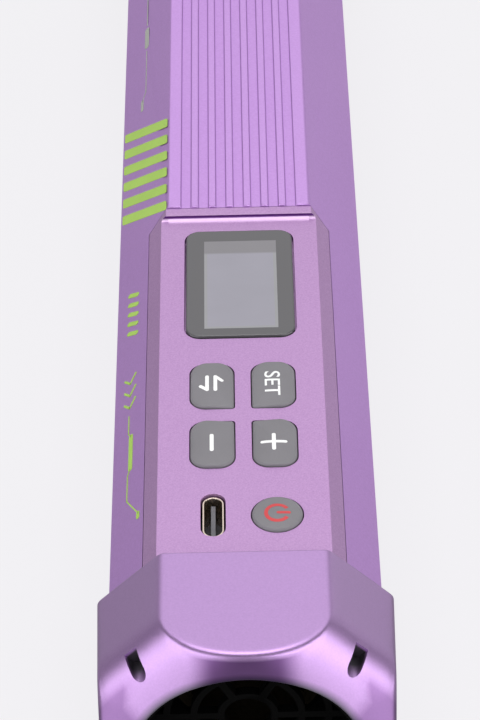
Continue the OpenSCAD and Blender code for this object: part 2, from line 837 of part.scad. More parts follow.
// Two capacitors lying along the board's sides, and two power switches between them
module driver_parts() color([0.14, 0.14, 0.15]) on_axis() {
    top = driver_z + board_t;
    y = mount_front_y + mount_t + 3;
    mirrored_pair() rod(capacitor_r, y, y + capacitor_l, x = driver_w / 2 - 1.6, z = top + capacitor_r);
    mirrored_pair() translate([(switch_pitch - switch_w) / 2, y + capacitor_l + switch_w, top])
        cube([switch_w, switch_l, switch_t]);
}

// ---- battery

module each_cell() for (sx = [-1, 1]) for (sz = [-1, 1]) {
    $x = sx * cell_x;
    $z = sz * cell_x;
    children();
}

module battery_cells() color(cell_blue) on_axis() each_cell() rod(cell_r, cell_y, cell_end, $x, $z);

// A holder whose closed side is at Y = 0 and whose pockets open towards +Y
module cell_holder() difference() {
    along(0, holder_l) body_section(wall + fit);
    each_cell() {
        rod(cell_r + snug, holder_base, holder_l + over, $x, $z);
        rod(cell_r - 1.8, -over, holder_base + bite, $x, $z);
    }
    mirrored_pair() translate([cell_x - 4, -over, -cell_x]) cube([8, holder_base + over, 2 * cell_x]);
    rod(2.4, -over, holder_l + over);
    mirrored_pair() {
        rod(port_r + fit, -over, holder_l + over, x = screw_x);
        translate([screw_x, -over, -port_r / 2 - fit]) cube([body_w, holder_l + 2 * over, port_r + 2 * fit]);
    }
}

module cell_holder_front() color(black_nylon) on_axis() translate([0, cell_y - holder_base, 0]) cell_holder();
module cell_holder_rear() color(black_nylon) on_axis()
    translate([0, pack_end, 0]) mirror([0, 1, 0]) cell_holder();

module cell_link(y) mirrored_pair() translate([cell_x - 3.5, y, -cell_x - 3.5])
    cube([7, link_t, 2 * cell_x + 7]);

module cell_links_front() color(nickel) on_axis() cell_link(cell_y - link_t);
module cell_links_rear() color(nickel) on_axis() cell_link(cell_end);

module battery_board() color(board_green) on_axis() difference() {
    translate([-cell_x + 1, pack_end, 1 - 2 * cell_x]) cube([2 * cell_x - 2, board_t, 4 * cell_x - 2]);
    rod(2.4, pack_end - over, pack_end + board_t + over);
}

// ---- tail

module dust_filter() color([0.14, 0.14, 0.15]) on_axis()
    rod(mouth_r - fit, total_l - filter_seat, total_l - filter_seat + filter_t);

module intake_grille() color(black_nylon) on_axis() difference() {
    y0 = total_l - filter_seat + filter_t;
    rod(mouth_r - fit, y0, y0 + intake_t);
    rod(intake_hole_d / 2, y0 - over, y0 + intake_t + over);
    for (circle_no = [1 : 4]) for (i = [0 : 6 * circle_no - 1])
        rotate([0, 60 * i / circle_no, 0])
            rod(intake_hole_d / 2, y0 - over, y0 + intake_t + over, x = circle_no * (mouth_r - 2) / 4.4);
}

// ---- screws

// A countersunk screw with its head at Y = 0
module housing_screw() {
    rod(screw_head_r, 0, screw_head_l / 2);
    translate([0, screw_head_l / 2 - 0.01, 0]) rotate([-90, 0, 0])
        cylinder(r1 = screw_head_r, r2 = screw_r, h = screw_head_l / 2 + 0.01);
    rod(screw_r, screw_head_l - bite, screw_l);
}

module front_screws() color(steel) on_axis() mirrored_pair()
    translate([screw_x, flange_y, 0]) housing_screw();

module tail_screws() color(steel) on_axis() translate([0, total_l, 0]) mirror([0, 1, 0])
    mirrored_pair() translate([screw_x, flange_y, 0]) housing_screw();

body_tube();
control_deck();
mouth_housing();
mouth_liner();
outlet_grille();
heater_sleeve();
heater_cross();
heater_coil();
fan_shroud();
fan_impeller();
rotor_shaft();
rotor_magnet();
front_bearing();
rear_bearing();
motor_stator();
motor_windings();
motor_cap();
fan_mount_front();
fan_mount_rear();
driver_board();
driver_parts();
main_board();
board_parts();
board_screws();
key_switches();
display_module();
display_lens();
key_swap();
key_set();
key_minus();
key_plus();
power_key();
usb_shell();
usb_tongue();
battery_cells();
cell_holder_front();
cell_holder_rear();
cell_links_front();
cell_links_rear();
battery_board();
tail_housing();
dust_filter();
intake_grille();
front_screws();
tail_screws();
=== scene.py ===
import bisect
import json
import math

import bmesh
import bpy
from mathutils import Matrix, Vector


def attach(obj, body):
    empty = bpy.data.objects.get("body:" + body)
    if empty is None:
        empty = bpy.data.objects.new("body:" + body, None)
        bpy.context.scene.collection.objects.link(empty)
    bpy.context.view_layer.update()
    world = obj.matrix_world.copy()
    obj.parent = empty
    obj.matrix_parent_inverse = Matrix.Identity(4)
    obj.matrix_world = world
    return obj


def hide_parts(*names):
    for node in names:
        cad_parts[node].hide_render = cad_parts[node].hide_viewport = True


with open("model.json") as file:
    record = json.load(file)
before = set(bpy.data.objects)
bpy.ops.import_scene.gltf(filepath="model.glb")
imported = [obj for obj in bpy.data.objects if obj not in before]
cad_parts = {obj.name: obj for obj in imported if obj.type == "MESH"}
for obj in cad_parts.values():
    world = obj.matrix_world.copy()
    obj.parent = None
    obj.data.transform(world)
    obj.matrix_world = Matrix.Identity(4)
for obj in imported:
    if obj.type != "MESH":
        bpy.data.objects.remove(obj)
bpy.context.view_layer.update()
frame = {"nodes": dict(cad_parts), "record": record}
nodes = frame["nodes"]
print("frame loaded with", len(nodes), "nodes")

# Shapes are drawn in millimetres round the air duct's axis, with the mouth face at y = 0
wand = {
    "length": 256,
    "axisHeight": 22,
    "sideX": 20.2,        # half width of the body
    "topZ": 21.55,        # height of the body's top over the axis
    "flatX": 12.15,       # half width of the top flat
    "flatZ": 12.8,        # half height of the side flat
    "panelZ": 20.7,       # height of the control panel over the axis
}
toRow = Matrix.Scale(0.001, 4) @ Matrix.Translation((0, -wand["length"] / 2, wand["axisHeight"]))
toAxis = toRow.inverted()
fine = 0.001              # one millimetre in the scene's metres

camera = {
    "place": (2.023, -308.602, 327.944),
    "down": 39.238,       # degrees below level
    "turn": -0.3329,
    "roll": -1.4758,
    "lens": 153.88,
}


def addCamera():
    down, turn, roll = (math.radians(camera[part]) for part in ("down", "turn", "roll"))
    ahead = Vector((math.sin(turn) * math.cos(down), math.cos(turn) * math.cos(down), -math.sin(down)))
    side = Vector((math.cos(turn), -math.sin(turn), 0))
    top = side.cross(ahead)
    right = math.cos(roll) * side + math.sin(roll) * top
    up = math.cos(roll) * top - math.sin(roll) * side
    lens = bpy.data.cameras.new("camera")
    lens.lens = camera["lens"]
    lens.clip_start = 0.01
    holder = bpy.data.objects.new("camera", lens)
    turned = Matrix((right, up, -ahead)).transposed().to_4x4()
    holder.matrix_world = Matrix.Translation(toRow @ Vector(camera["place"])) @ turned
    bpy.context.collection.objects.link(holder)
    bpy.context.scene.camera = holder


addCamera()
print("camera placed")


# One output of a node; sums on it add Math nodes to the same tree
class Wire:
    def __init__(self, nodes, socket):
        self.nodes = nodes
        self.socket = socket

    def out(self, name):
        return Wire(self.nodes, self.socket.node.outputs[name])

    def math(self, operation, *values, clamp=False):
        return self.nodes.node("ShaderNodeMath", {"operation": operation, "use_clamp": clamp}, values)

    def __add__(self, other):
        return self.math("ADD", self, other)

    def __sub__(self, other):
        return self.math("SUBTRACT", self, other)

    def __rsub__(self, other):
        return self.math("SUBTRACT", other, self)

    def __mul__(self, other):
        return self.math("MULTIPLY", self, other)

    def __abs__(self):
        return self.math("ABSOLUTE", self)

    def __mod__(self, other):
        return self.math("FLOORED_MODULO", self, other)

    def __truediv__(self, other):
        return self.math("DIVIDE", self, other)

    __radd__ = __add__
    __rmul__ = __mul__

    def clamped(self):
        return self.math("ADD", self, 0, clamp=True)

    def atLeast(self, low):
        return self.math("MAXIMUM", self, low)

    def root(self):
        return self.math("SQRT", self)


# A tree of nodes while it is being made
class Nodes:
    def __init__(self, tree):
        self.tree = tree

    def plug(self, target, value):
        if isinstance(value, Wire):
            self.tree.links.new(value.socket, target)
        elif isinstance(value, (tuple, list)) and target.type == "RGBA" and len(value) == 3:
            target.default_value = (*value, 1)
        else:
            target.default_value = value

    def node(self, kind, settings=None, sockets=()):
        made = self.tree.nodes.new(kind)
        for name, value in (settings or {}).items():
            setattr(made, name, value)
        named = sockets.items() if isinstance(sockets, dict) else enumerate(sockets)
        for name, value in named:
            self.plug(made.inputs[name], value)
        return Wire(self, next((output for output in made.outputs if output.enabled), None))


# A material and its main shader
class Paint(Nodes):
    def __init__(self, name, fixed):
        self.material = bpy.data.materials.new(name)
        self.material.use_nodes = True
        super().__init__(self.material.node_tree)
        self.shader = self.tree.nodes["Principled BSDF"]
        for socket, value in fixed.items():
            self.set(socket, value)

    def set(self, socket, value):
        self.plug(self.shader.inputs[socket], value)

    def spot(self):
        return self.node("ShaderNodeTexCoord").out("Object")

    def axes(self, spot):
        split = self.node("ShaderNodeSeparateXYZ", None, [spot])
        return split.out("X"), split.out("Y"), split.out("Z")

    # Distance across from the middle, distance from the mouth, and height over the axis, in millimetres
    def places(self, spot):
        x, y, z = self.axes(spot)
        return abs(x) * (1 / fine), y * (1 / fine) + wand["length"] / 2, z * (1 / fine) - wand["axisHeight"]

    def noise(self, spot, size, detail=2, roughness=0.5):
        return self.node("ShaderNodeTexNoise", None, {
            "Vector": spot, "Scale": 1 / (size * fine), "Detail": detail, "Roughness": roughness})

    def mix(self, share, first, second):
        return self.node("ShaderNodeMix", {"data_type": "RGBA"}, {0: share, 6: first, 7: second})

    def bump(self, height, depth, strength=1):
        return self.node("ShaderNodeBump", None, {
            "Height": height, "Distance": depth * fine, "Strength": strength})


# Painted highlight on the ribs' tops, which come out lighter than the grooves between them, and painted shade
# along their feet
def ribTones(paint, spot, tone, look):
    across, along, height = paint.places(spot)
    above = height - wand["topZ"]
    # Painted highlight: the rib tops are lightened
    crest = ((above - rib["height"] + 0.1) * 12).clamped()
    tone = paint.mix(crest * look["crest"], tone, look["polished"])
    # Painted shade: a darker line along each rib's foot
    edge = abs(abs(across % rib["pitch"] - rib["pitch"] / 2) - rib["width"] / 2)
    ribbed = ((along - rib["start"]) * 4).clamped() * ((rib["reach"] - across) * 8).clamped()
    foot = (1 - edge * (1 / rib["outline"])).clamped() * ((above + 0.05) * 20).clamped() * ribbed
    return paint.mix(foot * look["foot"], tone, look["deep"])


# Painted highlight along the foot of the deck's far step, and painted shade on its wall
def stepTones(paint, spot, tone, look):
    across, along, height = paint.places(spot)
    step = look["step"]
    within = (along - step["near"]).clamped() * ((step["far"] - along) * 20).clamped()
    within = within * ((step["top"] - height) * 20).clamped()
    # Painted highlight along the step's foot
    tone = paint.mix(((height - step["foot"]) * 15).clamped() * within * step["wear"], tone, look["worn"])
    # Painted shade on the step's wall
    return paint.mix(((height - step["wall"]) * 8).clamped() * within, tone, look["shaded"])


# Painted shade deep in the corner notches, on the front beside the corners and in the middle over the
# opening, and round the opening's rim
def housingTones(paint, spot, tone, look):
    across, along, height = paint.places(spot)
    high = abs(height)
    inward = wand["length"] / 2 - abs(along - wand["length"] / 2)
    outward, aside = (across + high) * math.sqrt(0.5), (across - high) * math.sqrt(0.5)
    # Painted shade deep in the corner notches
    notch = look["notch"]
    lead = (notch["dome"] - inward).atLeast(0)
    under = (notch["dome"] ** 2 - lead * lead).atLeast(0).root() + (notch["corner"] - notch["dome"]) - outward
    notchShade = ((notch["half"] - abs(aside + notch["shift"])) * 10).clamped() * ((under - 0.3) * 3).clamped()
    deep = ((inward - notch["from"]) * notch["rise"]).clamped()
    tone = paint.mix(notchShade * deep, tone, notch["tone"])

    # Painted shade on the front, in the middle under the tongue and low beside the corners; the coat is
    # thinned there too
    dull = look["dull"]
    beside = ((aside + dull["beside"]) * dull["besideRise"]).clamped()
    far = ((outward - dull["outward"]) * dull["outwardRise"]).clamped()
    far = (far + ((aside - dull["aside"]) * dull["asideRise"]).clamped()).clamped()
    middle = ((dull["half"] - across) * dull["halfRise"]).clamped() * ((dull["top"] - high) * 1.6).clamped()
    share = (beside * far * dull["share"] + middle).clamped() * ((dull["reach"] - inward) * 0.6).clamped()
    share = share * share * (3 - share * 2)
    tone = paint.mix(share, tone, dull["tone"])
    paint.set("Coat Weight", (1 - share * dull["bare"]) * look["coat"])

    # Painted shade darkening towards the rim of the opening
    rim = look["rim"]
    away = (across * across + high * high).root()
    return paint.mix(((rim["radius"] - away) * (1 / rim["width"])).clamped(), tone, rim["tone"])


# Aluminium with a dyed oxide skin: a fine blasted grain, and a faint drift of tone
def anodised(name, look, tones):
    paint = Paint(name, {"Metallic": look["metallic"], "Coat Weight": look["coat"], "Coat Roughness": 0.4,
                         "Coat IOR": look.get("coatIndex", 1.5)})
    spot = paint.spot()
    grain = paint.noise(spot, look["grainSize"], 3, 0.6)
    drift = paint.noise(spot, 22, 1)
    speck = (grain - 0.5) * look["contrast"] + 0.5
    tone = paint.mix(speck.clamped(), look["dark"], look["light"])
    faded = paint.mix((drift - 0.35) * look["drift"], tone, look["faded"])
    paint.set("Base Color", tones(paint, spot, faded, look))
    paint.set("Roughness", (grain - 0.5) * 0.12 + look["roughness"])
    paint.set("Normal", paint.bump(grain, look["grainDepth"]))
    return paint.material


rib = {
    "height": 0.28, "fullHeight": 0.45,       # here and in the frame
    "width": 1.33, "pitch": 2.93,
    # the darker line at each foot is painted shade
    "outline": 0.16,                          # width of the darker line at each foot
    "start": 106.5, "reach": 9.8,             # where they begin, and how far they go to each side
}

tubeLook = {
    "dark": (0.498, 0.266, 0.652), "light": (0.658, 0.386, 0.822), "faded": (0.632, 0.386, 0.757),
    "metallic": 0.92, "coat": 0.35, "roughness": 0.48,
    "grainSize": 0.35, "grainDepth": 0.004, "contrast": 1.2, "drift": 0.35,
    # painted highlight: share and colour of the lightened rib tops
    "crest": 0.08, "polished": (0.700, 0.480, 0.820),
    # painted shade: share and colour of the darker line along the ribs' feet
    "foot": 0.55, "deep": (0.300, 0.130, 0.430),
}
deckLook = {
    "dark": (0.430, 0.250, 0.495), "light": (0.590, 0.375, 0.640), "faded": (0.540, 0.355, 0.595),
    "metallic": 0.88, "coat": 0.08, "roughness": 0.50,
    "grainSize": 0.26, "grainDepth": 0.008, "contrast": 1.8, "drift": 0.35,
    # painted highlight at the far step's foot and painted shade on its wall: where they lie, and their
    # colours below
    "step": {"near": 103.3, "far": 105.09, "foot": 20.71, "wall": 20.98, "top": 21.5, "wear": 0.42},
    "worn": (0.860, 0.640, 0.900), "shaded": (0.115, 0.030, 0.190),
}
housingLook = {
    "dark": (0.340, 0.164, 0.455), "light": (0.452, 0.234, 0.570), "faded": (0.442, 0.244, 0.546),
    "metallic": 0.95, "coat": 1, "coatIndex": 2, "roughness": 0.40,
    "grainSize": 0.30, "grainDepth": 0.005, "contrast": 1.4, "drift": 0.35,
    # painted shade darkening towards the rim of the opening
    "rim": {"radius": 18.7, "width": 1.2, "tone": (0.030, 0.004, 0.060)},      # round the opening
    # painted shade on the front, under the tongue and low beside the corners, where the coat is thinned too
    "dull": {
        "beside": 2, "besideRise": 0.2, "outward": 20.2, "outwardRise": 0.45, "aside": 2.5, "asideRise": 0.35,
        "half": 8.8, "halfRise": 0.22, "top": 21.3,        # patch in the middle, over the opening
        "reach": 4.5, "share": 0.62, "bare": 0.75, "tone": (0.160, 0.062, 0.225),
    },
    # painted shade deep in the corner notches
    "notch": {"dome": 9.2, "corner": 24.29, "shift": 0.38, "half": 1.35, "from": 2.6, "rise": 0.4,
              "tone": (0.012, 0.004, 0.020)},
}


# Moulded rubber, plastic or ink with a fine grain
def moulded(name, dark, light, roughness, grainSize, grainDepth, fixed=None):
    paint = Paint(name, fixed or {})
    spot = paint.spot()
    grain = paint.noise(spot, grainSize, 2)
    cloud = paint.noise(spot, 6, 2)
    share = (grain - 0.5) * 0.9 + cloud
    paint.set("Base Color", paint.mix(share.clamped(), dark, light))
    paint.set("Roughness", (cloud - 0.5) * 0.15 + roughness)
    paint.set("Normal", paint.bump(grain, grainDepth))
    return paint.material


# Dark and light tone, roughness, size and depth of the grain, and what else the shader has
mouldedLooks = {
    "keyRubber": ((0.158, 0.152, 0.166), (0.196, 0.188, 0.206), 0.55, 0.12, 0.003, {"Sheen Weight": 0.1}),
    "blackNylon": ((0.008, 0.008, 0.009), (0.018, 0.018, 0.020), 0.50, 0.20, 0.006),
    # near black: painted shade for the inside of the mouth, on its liner and grille
    "shadowBlackNylon": ((0.001, 0.001, 0.001), (0.003, 0.003, 0.003), 0.85, 0.25, 0.006,
                    {"Specular IOR Level": 0.05}),
    # mica darkened nearly to black: painted shade for the heater deep in the mouth
    "shadowDarkMica": ((0.015, 0.011, 0.007), (0.040, 0.031, 0.020), 0.75, 0.60, 0.010,
                     {"Specular IOR Level": 0.1}),
    "impellerGrey": ((0.035, 0.035, 0.038), (0.060, 0.060, 0.064), 0.45, 0.25, 0.004),
    "chipBlack": ((0.012, 0.012, 0.013), (0.024, 0.024, 0.026), 0.38, 0.10, 0.002),
    "portTongueGrey": ((0.110, 0.110, 0.122), (0.170, 0.169, 0.188), 0.45, 0.15, 0.002),
    "mountRubber": ((0.014, 0.014, 0.015), (0.028, 0.028, 0.030), 0.75, 0.30, 0.008, {"Sheen Weight": 0.2}),
    "cellWrap": ((0.030, 0.100, 0.260), (0.050, 0.140, 0.330), 0.28, 2.50, 0.010),
    "mica": ((0.480, 0.400, 0.260), (0.660, 0.570, 0.400), 0.45, 0.60, 0.010),
    "whiteInk": ((0.830, 0.830, 0.830), (0.900, 0.900, 0.900), 0.50, 0.15, 0.001),
    "redInk": ((0.520, 0.036, 0.044), (0.620, 0.058, 0.063), 0.45, 0.15, 0.001),
    "greenInk": ((0.300, 0.480, 0.068), (0.370, 0.570, 0.100), 0.45, 0.25, 0.001),
    "rubbedInk": ((0.290, 0.300, 0.270), (0.350, 0.375, 0.330), 0.50, 0.25, 0.001),
}


# Bare metal with fine drawing lines along the body
def drawnMetal(name, dark, light, roughness, lineSize, lineScale):
    paint = Paint(name, {"Metallic": 1})
    stretched = paint.node("ShaderNodeMapping", None, {"Vector": paint.spot(), "Scale": lineScale})
    lines = paint.noise(stretched, lineSize, 3)
    paint.set("Base Color", paint.mix(lines, dark, light))
    paint.set("Roughness", (lines - 0.5) * 0.25 + roughness)
    paint.set("Normal", paint.bump(lines, 0.002))
    return paint.material


# Dark and light tone, roughness, size of the lines, and how the lines are stretched
drawnLooks = {
    "steel": ((0.46, 0.47, 0.49), (0.62, 0.63, 0.65), 0.30, 0.15, (1, 0.15, 1)),
    "portPlating": ((0.62, 0.52, 0.42), (0.80, 0.71, 0.60), 0.26, 0.20, (1, 1, 0.2)),
    "heatingWire": ((0.26, 0.24, 0.23), (0.46, 0.43, 0.40), 0.42, 0.50, (1, 1, 1)),
    "copper": ((0.50, 0.19, 0.08), (0.72, 0.33, 0.16), 0.32, 0.25, (1, 0.1, 1)),
    "rotorSteel": ((0.08, 0.08, 0.09), (0.16, 0.16, 0.17), 0.40, 0.35, (0.1, 1, 0.1)),
    "nickel": ((0.54, 0.52, 0.48), (0.68, 0.66, 0.61), 0.30, 0.30, (1, 1, 0.1)),
}


# Circuit board: solder resist over traces that run both ways
def boardPaint():
    paint = Paint("boardGreen", {"Metallic": 0})
    x, y, z = paint.axes(paint.spot())
    pitch = 1.6 * fine
    across = abs((x % pitch) - pitch / 2)
    along = abs((y % pitch) - pitch / 2)
    trace = ((0.22 * fine - across.math("MINIMUM", across, along)) * 9000).clamped()
    paint.set("Base Color", paint.mix(trace, (0.012, 0.062, 0.030), (0.028, 0.120, 0.055)))
    paint.set("Roughness", trace * 0.1 + 0.3)
    paint.set("Normal", paint.bump(trace, 0.02))
    return paint.material


# Woven wire filter: two sets of round wires, with the gaps between them painted near black as painted shade
def filterPaint():
    paint = Paint("filterMesh", {"Metallic": 0.9})
    x, y, z = paint.axes(paint.spot())
    pitch = 0.5 * fine
    across = abs((x % pitch) - pitch / 2) * (2 / pitch)
    upward = abs((z % pitch) - pitch / 2) * (2 / pitch)
    wires = across.atLeast(upward)
    # Painted shade in the gaps between the wires
    gap = ((0.62 - wires) * 8).clamped()
    paint.set("Base Color", paint.mix(gap, (0.30, 0.30, 0.32), (0.004, 0.004, 0.004)))
    paint.set("Roughness", gap * 0.4 + 0.35)
    paint.set("Normal", paint.bump(wires, 0.08))
    return paint.material


lensLook = {
    "centre": (0.15, 86.85),
    "window": (11.9, 23.1),       # lit area, across and along
    "ledge": 3.6,                 # darker strip at the window's far end
    "border": 0.5,
    "frame": (0.070, 0.068, 0.073),
    "glass": (0.268, 0.260, 0.308),
    "edge": (0.265, 0.265, 0.278),
    "dim": (0.182, 0.175, 0.190),
}


# Tinted window: grey printed frame and a paler panel that shows through it
def lensPaint():
    paint = Paint("lensWindow", {"Roughness": 0.22, "Coat Weight": 0.4, "Coat Roughness": 0.08})
    spot = paint.spot()
    x, y, z = paint.axes(spot)
    middleX = lensLook["centre"][0] * fine
    middleY = (lensLook["centre"][1] - wand["length"] / 2) * fine
    halfX, halfY = (side / 2 * fine for side in lensLook["window"])
    sharp = 1 / (0.06 * fine)

    def within(less):
        across = (halfX - less * fine - abs(x - middleX)) * sharp
        along = (halfY - less * fine - abs(y - middleY)) * sharp
        return across.clamped() * along.clamped()

    inside = within(0)
    farStrip = ((y - (middleY + halfY - lensLook["ledge"] * fine)) * sharp * 0.12).clamped()
    cloud = paint.noise(spot, 5, 1)
    lit = paint.mix(within(lensLook["border"]), lensLook["edge"], lensLook["glass"])
    panel = paint.mix(farStrip, lit, lensLook["dim"])
    tinted = paint.mix(cloud * 0.12, panel, lensLook["frame"])
    paint.set("Base Color", paint.mix(inside, lensLook["frame"], tinted))
    paint.set("Normal", paint.bump(paint.noise(spot, 3, 1), 0.002))
    return paint.material


finishes = {
    "tube": anodised("anodisedTube", tubeLook, ribTones),
    "deck": anodised("blastedDeck", deckLook, stepTones),
    "housing": anodised("anodisedHousing", housingLook, housingTones),
    "board": boardPaint(),
    "filter": filterPaint(),
    "lens": lensPaint(),
}
finishes.update({name: moulded(name, *look) for name, look in mouldedLooks.items()})
finishes.update({name: drawnMetal(name, *look) for name, look in drawnLooks.items()})
print("finishes made:", len(finishes))


def move(bm, vector):
    bmesh.ops.translate(bm, vec=vector, verts=bm.verts)


def rotate(bm, angle, axis):
    bmesh.ops.rotate(bm, cent=(0, 0, 0), matrix=Matrix.Rotation(angle, 3, axis), verts=bm.verts)


def stretch(bm, factors):
    bmesh.ops.scale(bm, vec=factors, verts=bm.verts)


# Extrudes faces and moves the new end
def extruded(bm, faces, vector):
    made = bmesh.ops.extrude_face_region(bm, geom=faces)["geom"]
    verts = [part for part in made if isinstance(part, bmesh.types.BMVert)]
    bmesh.ops.translate(bm, vec=vector, verts=verts)


# Makes a shape drawn in millimetres into a finished piece that rides on a body
def addPiece(bm, name, finish, body="body", hides=(), smoothAngle=32, at=(0, 0, 0)):
    bmesh.ops.transform(bm, matrix=toRow @ Matrix.Translation(at), verts=bm.verts)
    mesh = bpy.data.meshes.new(name)
    bm.to_mesh(mesh)
    bm.free()
    mesh.polygons.foreach_set("use_smooth", [True] * len(mesh.polygons))
    mesh.set_sharp_from_angle(angle=math.radians(smoothAngle))
    mesh.materials.append(finishes[finish])
    piece = bpy.data.objects.new(name, mesh)
    bpy.context.collection.objects.link(piece)
    weighted = piece.modifiers.new("evenShading", "WEIGHTED_NORMAL")
    weighted.keep_sharp = True
    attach(piece, body)
    if hides:
        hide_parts(*hides)
    return piece


def anywhere(middle, edge):
    return True


# A merged copy of a CAD node with its sharp edges broken, in groups of a width, its segments, a test
# on an edge's middle, and anything more where the width holds at short edges too
def brokenEdges(node, groups, sharpAngle=25, lowered=None):
    bm = bmesh.new()
    bm.from_mesh(nodes[node].data)
    bmesh.ops.transform(bm, matrix=toAxis, verts=bm.verts)
    bmesh.ops.remove_doubles(bm, verts=bm.verts, dist=0.002)
    for vert in bm.verts if lowered else ():
        vert.co.z = lowered(vert.co.z)
    bmesh.ops.dissolve_limit(bm, angle_limit=math.radians(0.4), verts=bm.verts, edges=bm.edges)
    for width, segments, wanted, *free in groups:
        sharp = [edge for edge in bm.edges if len(edge.link_faces) == 2
                 and edge.calc_face_angle(0) > math.radians(sharpAngle)
                 and wanted((edge.verts[0].co + edge.verts[1].co) / 2, edge)]
        bmesh.ops.bevel(bm, geom=sharp, offset=width, segments=segments, profile=0.5,
                        affect="EDGES", material=-1, clamp_overlap=not free)
    bmesh.ops.remove_doubles(bm, verts=bm.verts, dist=0.001)
    return bm


housing = {
    "half": 22, "halfFlat": 12.35, "length": 21.9,
    "dome": 9.2,          # radius of the rounded front
    "square": (6, 3.2),   # at the top and at the sides: 2 turns the front round, more keeps its corners
    "slim": 0.55,         # how much closer each side is at the mouth
    "crisp": 115,         # how sharply the eight sides meet
    "topEdge": 0.95, "sideEdge": 1.3, "rimEdge": 0.42, "backEdge": 0.18,
    "boreRadius": 17.2, "flangeRadius": 13.2,
    "rows": (2, 8, 6, 12, 12, 12),       # between the stations of a section, from the back edge to the bore
    "notch": {"width": 2.4, "depth": 6.6, "floor": 21.2, "turn": 46},
}


# Distance from the axis to the eight sides, softened a little where they meet
def sideRadius(angle, slim):
    corner = (housing["half"] + housing["halfFlat"]) / math.sqrt(2)
    total = 0
    for number in range(8):
        reach = math.cos(angle - number * math.pi / 4)
        if reach > 0:
            away = corner if number % 2 else housing["half"] - (slim if number % 4 else 0)
            total += (reach / away) ** housing["crisp"]
    return total ** (-1 / housing["crisp"])


# Set-back of the rounded front at a distance from the axis
def frontSetBack(radius, angle):
    top, side = housing["square"]
    square = side + (top - side) * math.cos(angle) ** 2
    lean = sum(abs(math.cos(angle + turn * math.pi / 4)) ** square for turn in (-1, 1))
    corner = (housing["half"] + housing["halfFlat"]) / math.sqrt(2)
    over = radius * lean ** (1 / square) - (corner - housing["dome"])
    over = min(max(over, 0), housing["dome"])
    return housing["dome"] - math.sqrt(housing["dome"] ** 2 - over ** 2)


# Rounds the corners of an open line by averaging along it, each corner over its own reach
def softened(line, corners):
    lengths = [0]
    for before, after in zip(line, line[1:]):
        lengths.append(lengths[-1] + (after - before).length)

    def at(place):
        place = min(max(place, 0), lengths[-1])
        number = min(bisect.bisect_right(lengths, place), len(lengths) - 1)
        share = (place - lengths[number - 1]) / (lengths[number] - lengths[number - 1])
        return line[number - 1].lerp(line[number], share)

    # The mean of 13 places within the reach
    def smooth(place):
        reach = max((width * min(1, 2 * max(0, 1 - abs(place - lengths[corner]) / (3 * width)))
                     for corner, width in corners), default=0)
        if reach < 0.01:
            return at(place)
        return sum((at(place + reach * step / 6) for step in range(-6, 7)), Vector((0, 0))) / 13

    return lengths, smooth


# One section through the housing wall as (distance from axis, distance from mouth), from the back inwards
def housingColumn(angle, seats):
    length, bore = housing["length"], housing["boreRadius"]
    frontReach = sideRadius(angle, housing["slim"])
    backReach = sideRadius(angle, 0)
    setBack = 0
    for turn in range(30):               # the side's reach and the set-back follow from each other
        reach = frontReach + (backReach - frontReach) * setBack / length
        setBack = 0.5 * (setBack + frontSetBack(reach, angle))
    steps = 60
    front = [reach - (reach - bore) * (step / steps) ** 2 for step in range(steps + 1)]
    line = [Vector((housing["flangeRadius"], length)), Vector((backReach, length))]
    line += [Vector((radius, frontSetBack(radius, angle))) for radius in front]
    line += [Vector(seat) for seat in seats]
    level = abs(math.sin(angle))
    edge = housing["topEdge"] + (housing["sideEdge"] - housing["topEdge"]) * min(max((level - 0.8) * 8, 0), 1)
    back, crease, rim = 1, 2, 2 + steps
    lengths, smooth = softened(line, ((back, housing["backEdge"]), (crease, edge), (rim, housing["rimEdge"])))
    stations = [
        0, lengths[back] - 3 * housing["backEdge"], lengths[back] + 3 * housing["backEdge"],
        lengths[crease] - 3 * edge, lengths[crease] + min(2 * edge, 0.3 * (lengths[rim] - lengths[crease])),
        lengths[rim] - 2 * housing["rimEdge"], lengths[rim] + 2 * housing["rimEdge"], *lengths[rim + 1:],
    ]
    places = []
    for before, after, count in zip(stations, stations[1:], housing["rows"] + (1,) * len(seats)):
        places += [before + (after - before) * step / count for step in range(count)]
    return [smooth(place) for place in places + [stations[-1]]]


# Angles of the columns, closer together at the eight corners
def columnAngles():
    corner = math.atan2(housing["halfFlat"], housing["half"])
    quarter = [corner * step / 9 for step in range(9)]
    quarter += [corner + (step - 2) * 0.012 for step in range(5)]
    quarter += [corner + (math.pi / 4 - corner) * step / 6 for step in range(1, 7)]
    quarter = sorted(set(round(angle, 5) for angle in quarter))
    quarter += [math.pi / 2 - angle for angle in reversed(quarter[1:-1])]
    return [angle + turn * math.pi / 2 for turn in range(4) for angle in quarter]


# A ring of tube whose sections are then bent to the columns
def housingSkin(seats):
    angles = columnAngles()
    sections = [housingColumn(angle, seats) for angle in angles]
    rows, columns = len(sections[0]), len(angles)
    bm = bmesh.new()
    bmesh.ops.create_circle(bm, segments=rows, radius=1)
    rotate(bm, -math.pi / 2, "Y")
    move(bm, (0, 0, 5))
    bmesh.ops.spin(bm, geom=bm.edges[:] + bm.verts[:], cent=(0, 0, 0), axis=(0, 1, 0),
                   angle=2 * math.pi, steps=columns, use_merge=True)
    for vert in bm.verts:
        around = math.atan2(vert.co.x, vert.co.z) / (2 * math.pi)
        across = math.atan2(vert.co.y, vert.co.xz.length - 5) / (2 * math.pi)
        column = round(around * columns) % columns
        radius, y = sections[column][round(across * rows) % rows]
        vert.co = (radius * math.sin(angles[column]), y, radius * math.cos(angles[column]))
    bmesh.ops.recalc_face_normals(bm, faces=bm.faces)
    return bm


